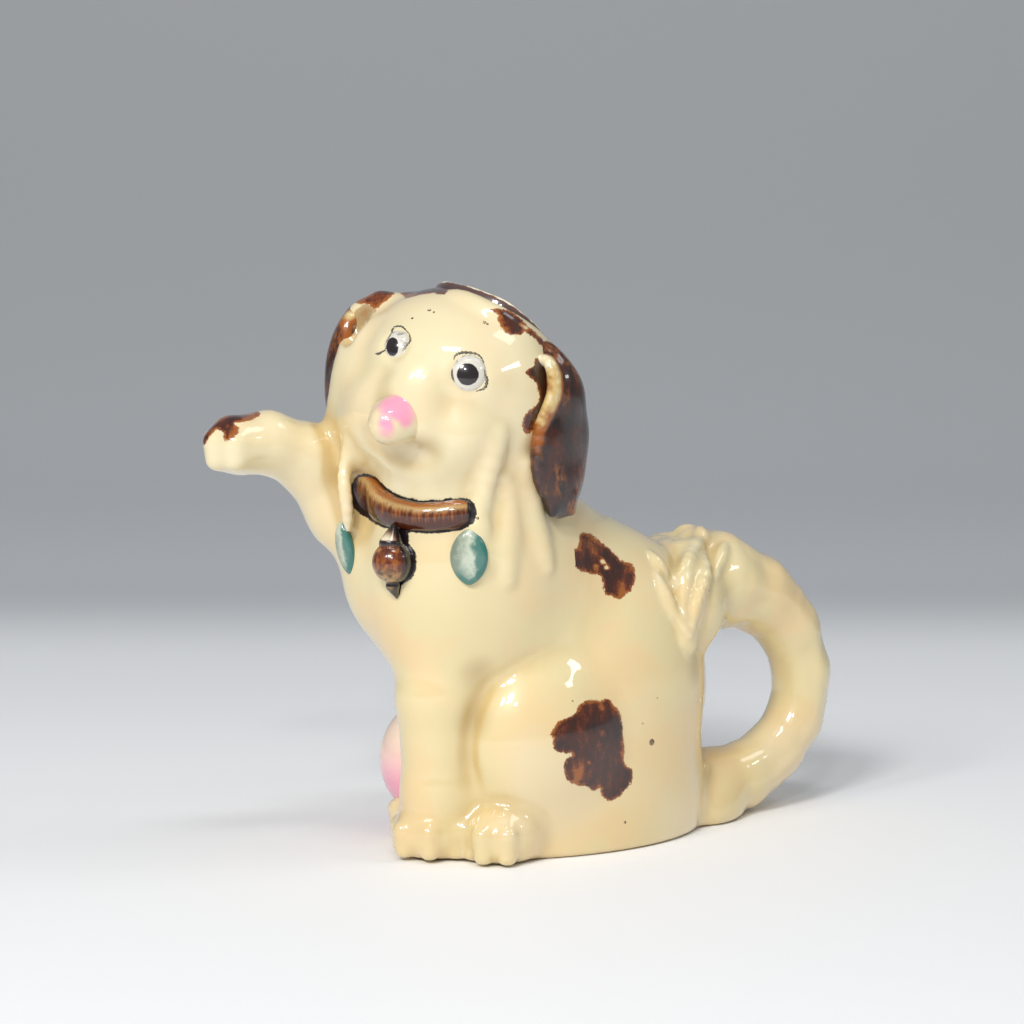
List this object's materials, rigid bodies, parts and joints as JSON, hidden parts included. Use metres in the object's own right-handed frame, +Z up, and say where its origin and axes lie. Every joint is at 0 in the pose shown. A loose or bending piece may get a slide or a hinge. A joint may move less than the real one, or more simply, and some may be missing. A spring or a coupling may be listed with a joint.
{
  "type": "figural planter",
  "caption": "Glazed pottery planter shaped as a seated spaniel puppy with one foreleg raised, a looped tail for a handle and an open crown.",
  "frame": {"origin": "on the flat foot the planter stands on, in the middle of its width, below the shoulders", "axes": "+X the way the chest faces, away from the tail handle; +Y the puppy's left side; +Z up"},
  "size_m": [0.2188, 0.081, 0.1755],
  "materials": {
    "cream_glaze": "gloss cream glaze over white earthenware",
    "brown_glaze": "gloss dark brown glaze, amber where thin",
    "amber_glaze": "gloss amber brown glaze",
    "pink_glaze": "gloss pink colour fading to cream",
    "peach_glaze": "gloss peach pink",
    "teal_glaze": "gloss teal green brushed over cream",
    "eye_glaze": "gloss white with a black pupil"
  },
  "bodies": {
    "root": {"body_shell": "cream_glaze", "head_shell": "cream_glaze", "standing_foreleg": "cream_glaze", "raised_foreleg": "cream_glaze", "tail_handle": "cream_glaze", "left_ear": "brown_glaze", "right_ear": "brown_glaze", "left_eye": "eye_glaze", "right_eye": "eye_glaze", "nose": "pink_glaze", "left_lock": "cream_glaze", "right_lock": "cream_glaze", "collar_band": "brown_glaze", "bell": "amber_glaze", "left_leaf": "teal_glaze", "right_leaf": "teal_glaze", "ball": "peach_glaze"}
  },
  "joints": []
}
